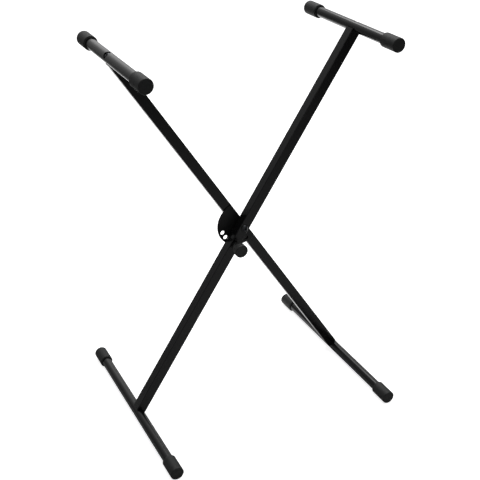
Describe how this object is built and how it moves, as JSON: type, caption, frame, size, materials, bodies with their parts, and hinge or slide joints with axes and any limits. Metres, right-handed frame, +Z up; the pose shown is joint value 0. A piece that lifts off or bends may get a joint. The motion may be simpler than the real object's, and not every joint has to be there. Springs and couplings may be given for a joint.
{
  "type": "keyboard stand",
  "caption": "Folding X-shaped floor stand for a keyboard: square-tube arms, round cross tubes with rubber caps, and a pull-pin lock by the pivot.",
  "frame": {"origin": "on the floor, under the middle of the stand's bounding box", "axes": "+Z up; +X to the right as seen from the knob's side; +Y away from the knob's side, along the cross tubes"},
  "size_m": [0.6268, 0.5422, 0.9375],
  "materials": {
    "gloss_paint": "semi-gloss black powder coat on steel tube",
    "plate_paint": "black powder coat on steel plate",
    "cap_rubber": "matte black moulded rubber",
    "bolt_steel": "blackened steel",
    "zinc_steel": "bright zinc plate",
    "spring_steel": "drawn spring wire",
    "insert_steel": "plain turned steel",
    "knob_plastic": "satin black moulded plastic"
  },
  "bodies": {
    "rear_frame": {"rear_arm": "gloss_paint", "left_support_tube": "gloss_paint", "left_support_front_cap": "cap_rubber", "left_support_rear_cap": "cap_rubber", "left_support_bolt": "bolt_steel", "left_support_sleeve": "zinc_steel", "left_support_insert": "insert_steel", "right_foot_tube": "gloss_paint", "right_foot_front_cap": "cap_rubber", "right_foot_rear_cap": "cap_rubber", "right_foot_bolt": "bolt_steel", "right_foot_sleeve": "zinc_steel", "right_foot_insert": "insert_steel", "locking_plate": "plate_paint", "pivot_bolt": "bolt_steel", "pivot_nut": "bolt_steel", "pivot_washer": "zinc_steel", "rear_pivot_sleeve": "zinc_steel"},
    "front_frame": {"front_arm": "gloss_paint", "right_support_tube": "gloss_paint", "right_support_front_cap": "cap_rubber", "right_support_rear_cap": "cap_rubber", "right_support_bolt": "bolt_steel", "right_support_sleeve": "zinc_steel", "right_support_insert": "insert_steel", "left_foot_tube": "gloss_paint", "left_foot_front_cap": "cap_rubber", "left_foot_rear_cap": "cap_rubber", "left_foot_bolt": "bolt_steel", "left_foot_sleeve": "zinc_steel", "left_foot_insert": "insert_steel", "front_pivot_sleeve": "zinc_steel", "pin_bush": "knob_plastic", "pin_spring": "spring_steel"},
    "plunger": {"locking_pin": "zinc_steel", "pull_knob": "knob_plastic", "pin_ring": "spring_steel"}
  },
  "joints": [
    {"name": "fold", "type": "hinge", "parent": "rear_frame", "child": "front_frame", "pos_m": [0, -0.0036, 0.47253], "axis": [0, 1, 0], "range_deg": [-57, 38]},
    {"name": "pin_pull", "type": "slide", "parent": "front_frame", "child": "plunger", "axis": [0, -1, 0], "range_m": [-0.003, 0.004], "stiffness_N_per_m": 1500, "deforming": ["pin_spring"]}
  ]
}
